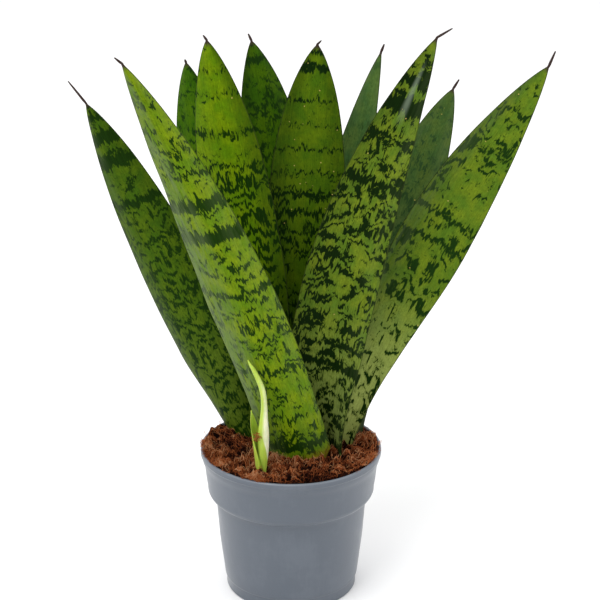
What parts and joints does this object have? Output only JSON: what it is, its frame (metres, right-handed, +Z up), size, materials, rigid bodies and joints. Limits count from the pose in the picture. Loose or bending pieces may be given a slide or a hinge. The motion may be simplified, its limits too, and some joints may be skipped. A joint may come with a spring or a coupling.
{
  "type": "potted snake plant",
  "caption": "Snake plant with upright, zigzag-banded, trough-shaped leaves and a young shoot, rooted in coir in a plain round nursery pot.",
  "frame": {"origin": "middle of the pot's underside, on the surface it stands on", "axes": "+Z up the plant; -Y towards the front, where the young shoot and the broad front leaf stand; +X to the right seen from the front"},
  "size_m": [0.3059, 0.1584, 0.3871],
  "materials": {
    "pot_plastic": "moulded, soft satin grey-blue",
    "coir": "loose reddish-brown coconut fibre",
    "rhizome_flesh": "firm buff-coloured skin",
    "leaf_skin": "waxy satin leaf with dark zigzag bands",
    "spear_skin": "smooth young shoot, pale yellow-green",
    "sheath_skin": "thin satin sheath, yellow-green"
  },
  "bodies": {
    "root": {"nursery_pot": "pot_plastic", "coir_substrate": "coir", "rhizome": "rhizome_flesh", "leaf_front_broad": "leaf_skin", "leaf_left_outer": "leaf_skin", "leaf_left_back": "leaf_skin", "leaf_left_inner": "leaf_skin", "leaf_back_middle": "leaf_skin", "leaf_centre": "leaf_skin", "leaf_back_right": "leaf_skin", "leaf_front_right": "leaf_skin", "leaf_right_back": "leaf_skin", "leaf_right_outer": "leaf_skin", "sprout_spear": "spear_skin", "sprout_sheath": "sheath_skin"}
  },
  "joints": []
}
